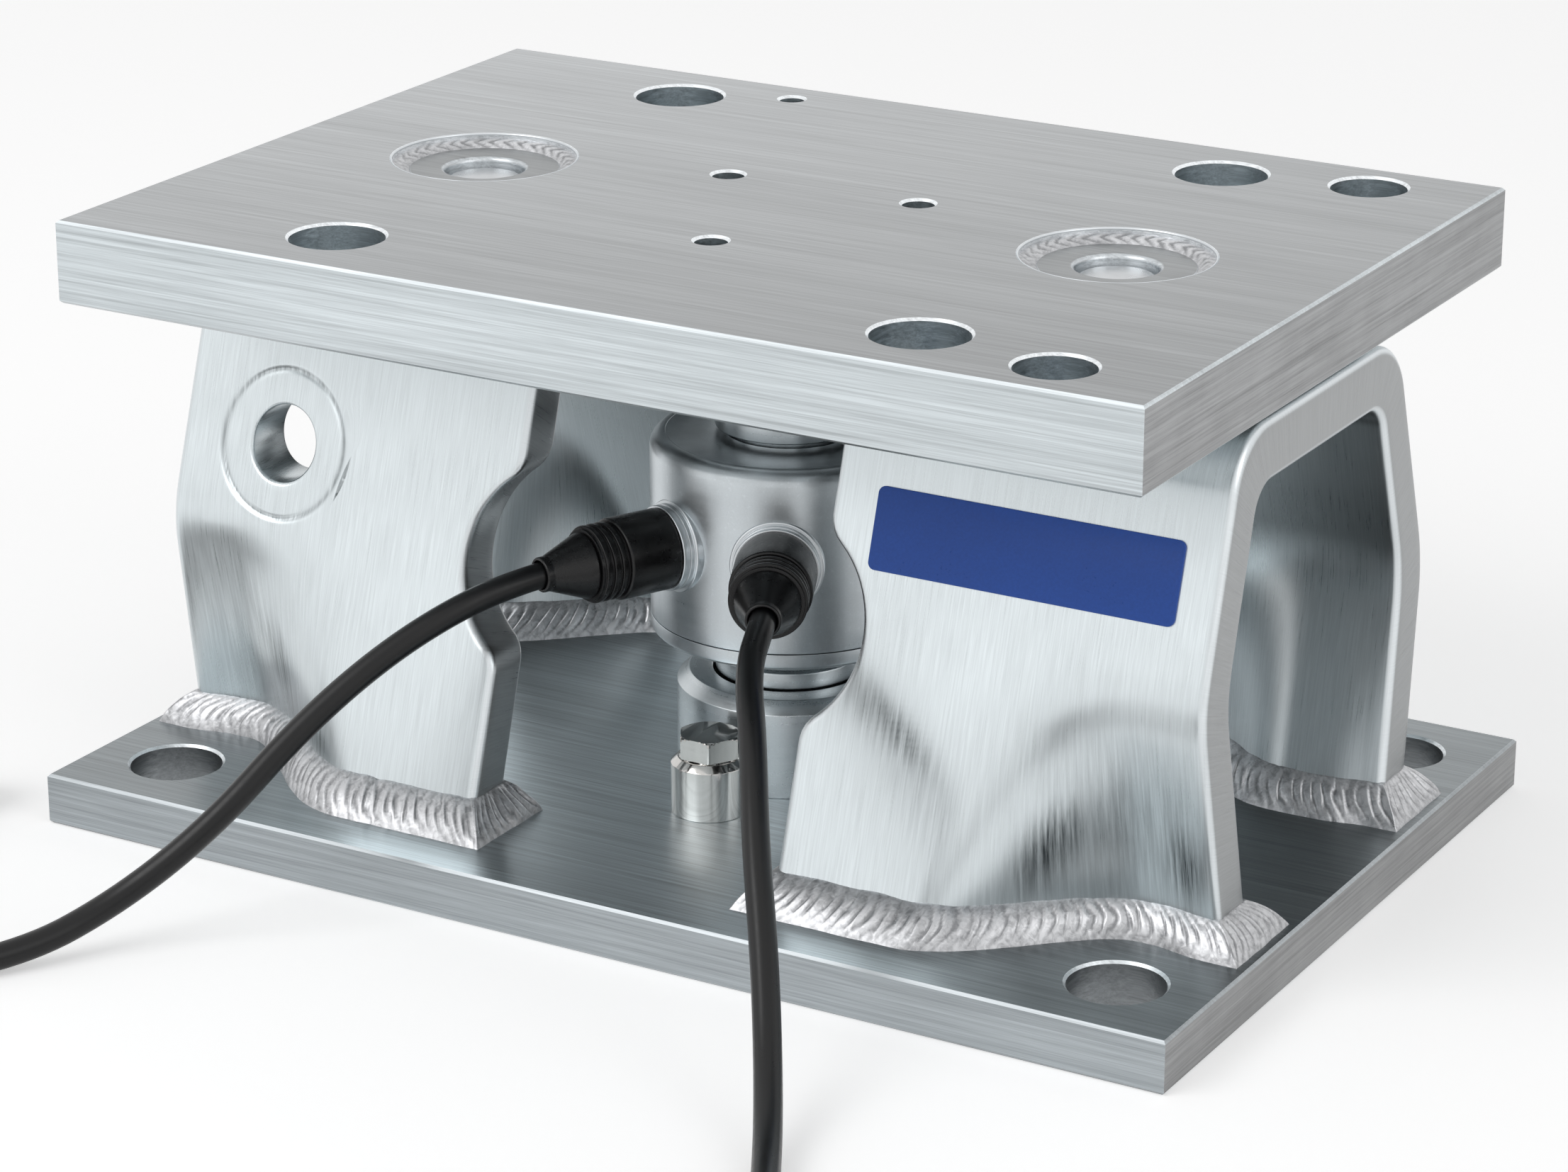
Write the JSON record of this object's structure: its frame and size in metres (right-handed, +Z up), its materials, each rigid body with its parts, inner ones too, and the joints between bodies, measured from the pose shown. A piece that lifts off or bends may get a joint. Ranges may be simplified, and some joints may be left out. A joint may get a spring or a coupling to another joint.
{
  "type": "load cell weighing module",
  "caption": "Weighing module for a tank leg: a column load cell between a welded base plate and a floating top plate, with pressed hold-down pedestals and free cables.",
  "frame": {"origin": "centre of the base plate's underside, under the load cell's axis", "axes": "+Z up along the load, +X along the long side towards the pedestal with the nameplate, -Y towards the side that the cables leave"},
  "size_m": [0.4774, 0.5713, 0.191],
  "materials": {
    "plate_steel": "brushed along the long side",
    "pressed_steel": "fine satin",
    "weld_metal": "rippled, bright",
    "turned_steel": "turned",
    "cell_steel": "satin",
    "stud_steel": "rolled thread, satin",
    "polished_steel": "polished",
    "socket_metal": "turned",
    "seal_rubber": "matt",
    "plug_black": "satin",
    "cable_black": "satin",
    "plate_blue": "printed foil, blank",
    "board_green": "lacquered",
    "gauge_foil": "foil"
  },
  "bodies": {
    "base": {"base_plate": "plate_steel", "left_pedestal": "pressed_steel", "right_pedestal": "pressed_steel", "left_front_weld": "weld_metal", "left_rear_weld": "weld_metal", "right_front_weld": "weld_metal", "right_rear_weld": "weld_metal", "lower_seat": "turned_steel", "lower_seal": "seal_rubber", "earth_post": "polished_steel", "earth_bolt": "polished_steel", "nameplate": "plate_blue", "left_cable": "cable_black", "left_coil": "cable_black", "left_tail": "cable_black", "left_far_plug": "plug_black", "left_far_boot": "plug_black", "right_cable": "cable_black", "right_coil": "cable_black", "right_tail": "cable_black", "right_far_plug": "plug_black", "right_far_boot": "plug_black"},
    "load_cell": {"rocker_column": "turned_steel", "cell_base_ring": "cell_steel", "cell_housing": "cell_steel", "cell_lid": "cell_steel", "signal_board": "board_green", "strain_gauge_1": "gauge_foil", "strain_gauge_2": "gauge_foil", "strain_gauge_3": "gauge_foil", "strain_gauge_4": "gauge_foil", "left_socket": "socket_metal", "right_socket": "socket_metal", "left_plug": "plug_black", "right_plug": "plug_black", "left_boot": "plug_black", "right_boot": "plug_black"},
    "top_plate": {"top_plate": "plate_steel", "left_boss": "turned_steel", "right_boss": "turned_steel", "left_boss_weld": "weld_metal", "right_boss_weld": "weld_metal", "left_stud": "stud_steel", "right_stud": "stud_steel", "left_washer": "stud_steel", "right_washer": "stud_steel", "left_nut": "stud_steel", "right_nut": "stud_steel", "left_lock_nut": "stud_steel", "right_lock_nut": "stud_steel", "upper_seat": "turned_steel", "upper_seal": "seal_rubber"}
  },
  "joints": [
    {"name": "top_plate_slide", "type": "slide", "parent": "base", "child": "top_plate", "axis": [1, 0, 0], "range_m": [-0.0025, 0.0025], "stiffness_N_per_m": 600},
    {"name": "load_cell_rock", "type": "hinge", "parent": "base", "child": "load_cell", "pos_m": [0, 0, 0.028], "axis": [0, 1, 0], "range_deg": [-1.2, 1.2]}
  ],
  "couplings": [
    {"joint": "load_cell_rock", "follows": "top_plate_slide", "rad_per_m": 7.9365}
  ]
}
